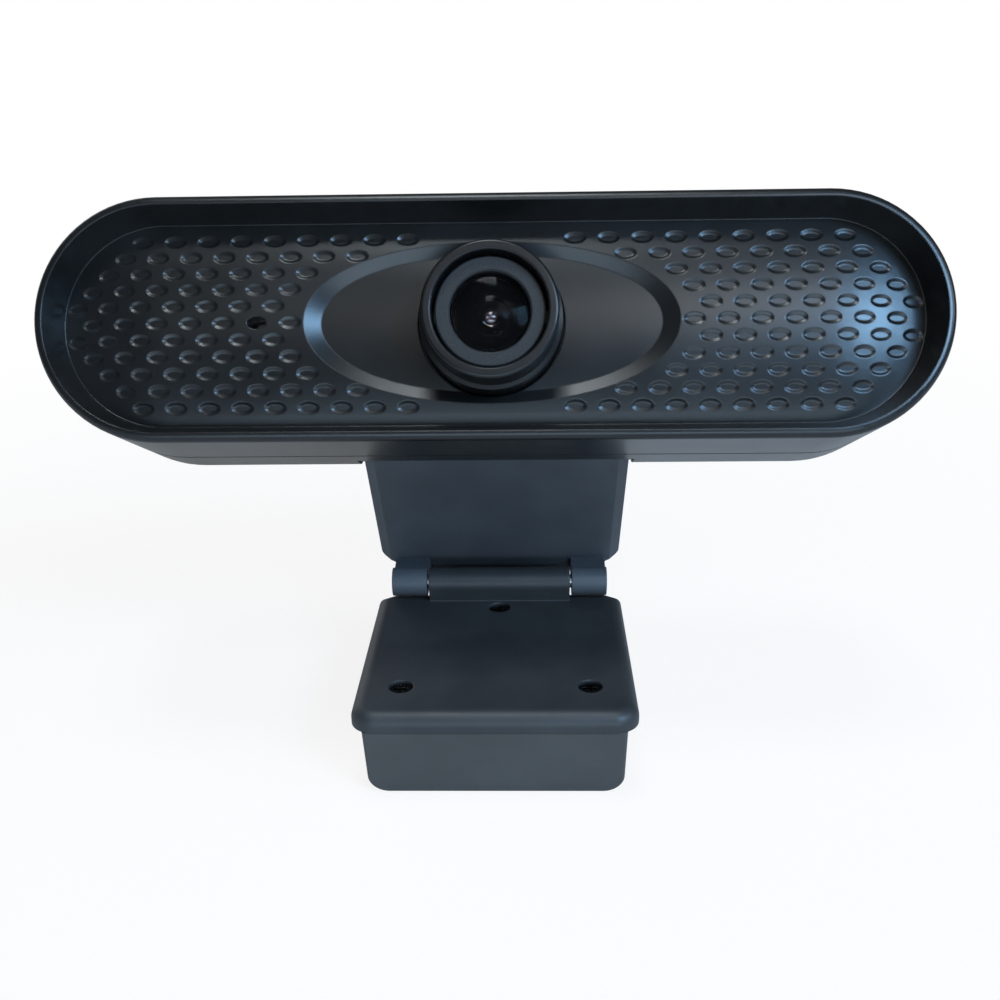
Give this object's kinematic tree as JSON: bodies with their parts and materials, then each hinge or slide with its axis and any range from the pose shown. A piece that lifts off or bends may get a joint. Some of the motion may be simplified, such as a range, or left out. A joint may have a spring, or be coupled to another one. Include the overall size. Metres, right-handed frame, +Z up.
{
  "type": "clip-on webcam",
  "caption": "Wide round-ended webcam head with a dimpled face and a turning focus ring, tilting on a folding monitor clip with a rear leg.",
  "frame": {"origin": "middle of the footprint, on the surface that the clip stands on", "axes": "+X to the right as seen from the front, +Y to the back, +Z up; the lens looks towards -Y and up by 26.8 degrees"},
  "size_m": [0.108, 0.0478, 0.0717],
  "materials": {
    "shell": "black moulded plastic, fine satin texture",
    "clip": "black moulded plastic, fine matte texture",
    "ring": "black moulded plastic, smooth satin",
    "barrel": "black anodised, blasted",
    "glass": "coated lens glass",
    "filter": "coated flat glass",
    "board": "green solder mask",
    "chips": "black moulded resin",
    "socket": "natural nylon",
    "steel": "plated",
    "brass": "turned",
    "rubber": "matte"
  },
  "bodies": {
    "seat": {"clip_cover": "clip", "clip_base": "clip", "clip_screws": "steel", "tripod_insert": "brass", "lip_pad": "rubber", "seat_pads": "rubber", "leg_pin": "steel"},
    "leg": {"rear_leg": "clip", "leg_pad": "rubber"},
    "arm": {"arm_plate": "clip", "clip_pin": "steel"},
    "focus_ring": {"focus_ring": "ring"},
    "lens": {"lens_barrel": "barrel", "front_element": "glass", "lens_baffle": "barrel", "middle_element": "glass", "rear_element": "glass", "lens_retainer": "barrel"},
    "head": {"front_cover": "shell", "back_cover": "shell", "infrared_filter": "filter", "main_board": "board", "image_sensor": "chips", "controller_chip": "chips", "memory_chip": "chips", "small_parts": "chips", "lens_holder": "chips", "cable_socket": "socket", "cover_screws": "steel", "board_screws": "steel", "holder_screws": "steel", "tilt_pins": "steel", "clock_crystal": "steel", "microphone": "steel", "microphone_leads": "steel", "cable_grommet": "rubber", "microphone_boot": "rubber"}
  },
  "joints": [
    {"name": "clip_fold", "type": "hinge", "parent": "seat", "child": "arm", "pos_m": [0, 0.00971, 0.01585], "axis": [1, 0, 0], "range_deg": [-45, 30]},
    {"name": "head_tilt", "type": "hinge", "parent": "arm", "child": "head", "pos_m": [0, 0.00301, 0.04002], "axis": [1, 0, 0], "range_deg": [-20, 45]},
    {"name": "leg_fold", "type": "hinge", "parent": "seat", "child": "leg", "pos_m": [0, 0.00381, 0.0059], "axis": [1, 0, 0], "range_deg": [-165, 0]},
    {"name": "focus_turn", "type": "hinge", "parent": "head", "child": "focus_ring", "pos_m": [0, -0.00921, 0.05908], "axis": [0, -0.8926, 0.4509], "range_deg": [-150, 150]},
    {"name": "lens_travel", "type": "slide", "parent": "focus_ring", "child": "lens", "axis": [0, -0.8926, 0.4509], "range_m": [-0.000208, 0.000208]}
  ],
  "couplings": [
    {"joint": "focus_turn", "follows": "lens_travel", "rad_per_m": 12566}
  ]
}
